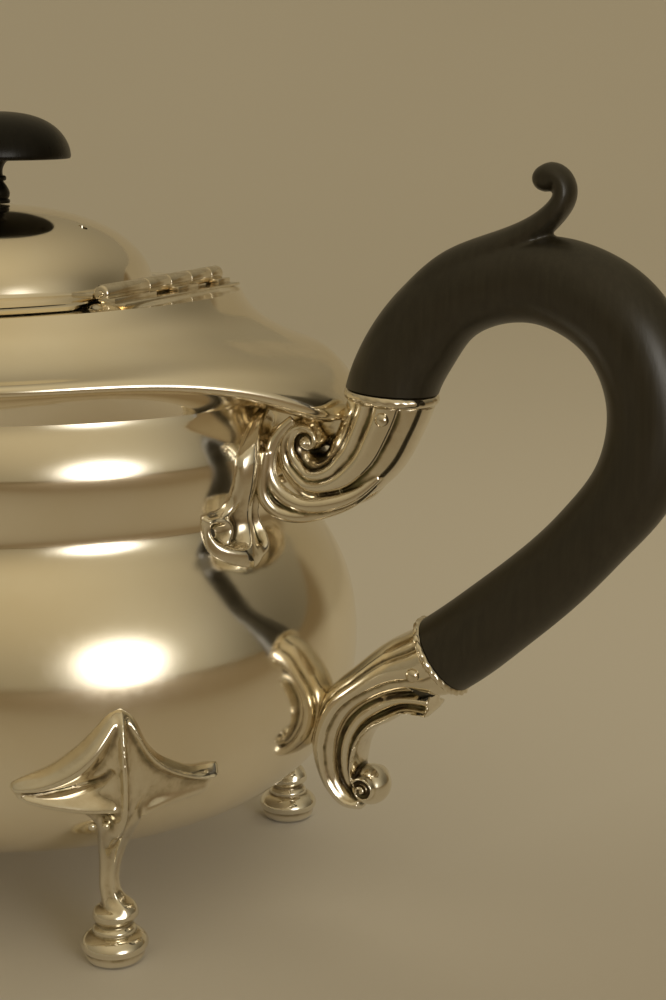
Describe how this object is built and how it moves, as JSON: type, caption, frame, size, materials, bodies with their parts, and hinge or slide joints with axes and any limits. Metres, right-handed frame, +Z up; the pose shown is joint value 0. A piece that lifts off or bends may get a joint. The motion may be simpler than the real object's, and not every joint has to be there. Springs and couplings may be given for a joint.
{
  "type": "teapot",
  "caption": "Footed silver teapot with a waisted oval body, shaped shoulder, hinged domed lid, swan-neck spout, mushroom finial and a scrolled dark wood loop handle in fluted cast sockets.",
  "frame": {"origin": "on the table plane under the middle of the whole object's box, spout tip to handle back", "axes": "+X towards the handle, -X towards the spout, +Z up, +Y to the far side; the lid hinge runs along Y"},
  "size_m": [0.2614, 0.1298, 0.152],
  "materials": {
    "raised_silver": "hand-polished silver, soft bright reflections with fine wear scratches",
    "cast_silver": "cast and chased silver, polished on the high parts, grey-brown tarnish in the grooves",
    "hinge_silver": "drawn silver tube and sheet, polished, dark in the joints",
    "ebony": "dark ebonised hardwood, satin wax polish, fine straight grain"
  },
  "bodies": {
    "pot": {"body_shell": "raised_silver", "shoulder_collar": "raised_silver", "spout": "raised_silver", "hinge_body_leaf": "hinge_silver", "hinge_pin": "hinge_silver", "handle_grip": "ebony", "upper_socket": "cast_silver", "lower_socket": "cast_silver", "upper_ferrule": "cast_silver", "lower_ferrule": "cast_silver", "upper_rivet": "cast_silver", "lower_rivet": "cast_silver", "socket_leaf": "cast_silver", "foot_handle_near": "cast_silver", "foot_handle_far": "cast_silver", "foot_spout_near": "cast_silver", "foot_spout_far": "cast_silver"},
    "lid": {"lid_dome": "raised_silver", "lid_bezel": "raised_silver", "hinge_lid_leaf": "hinge_silver", "finial_knob": "ebony", "finial_stem": "ebony", "finial_stud": "cast_silver", "finial_washer": "cast_silver", "finial_nut": "cast_silver"}
  },
  "joints": [
    {"name": "lid_hinge", "type": "hinge", "parent": "pot", "child": "lid", "pos_m": [0.02767, 0, 0.1201], "axis": [0, 1, 0], "range_deg": [0, 105]}
  ]
}
